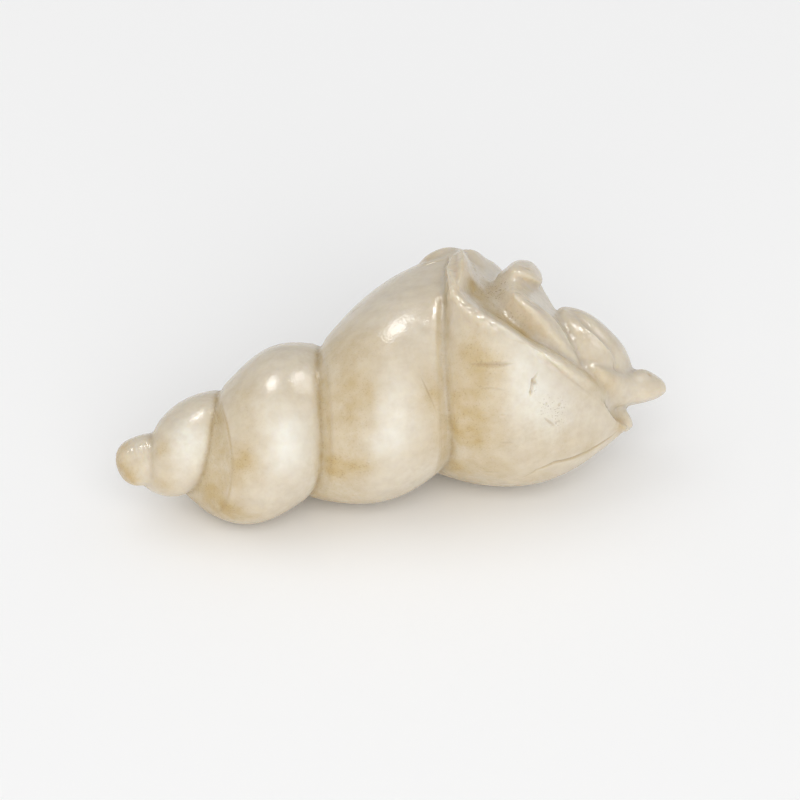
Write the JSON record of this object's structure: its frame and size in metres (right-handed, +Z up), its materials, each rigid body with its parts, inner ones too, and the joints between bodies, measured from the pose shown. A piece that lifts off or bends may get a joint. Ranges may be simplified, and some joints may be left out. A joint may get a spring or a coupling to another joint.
{
  "type": "snail carving",
  "caption": "Pale jade pendant carved in the round as a snail looking out of a tall spiral shell that lies on its side, with spiral grooves, a horn, folded flesh and a small head.",
  "frame": {"origin": "on the table under the middle of the carving's box", "axes": "+X along the shell from its apex to the snail's head, -Y towards the side the picture shows, +Z up"},
  "size_m": [0.0593, 0.0254, 0.0252],
  "materials": {
    "jade": "polished, waxy"
  },
  "bodies": {
    "root": {"snail_carving": "jade"}
  },
  "joints": []
}
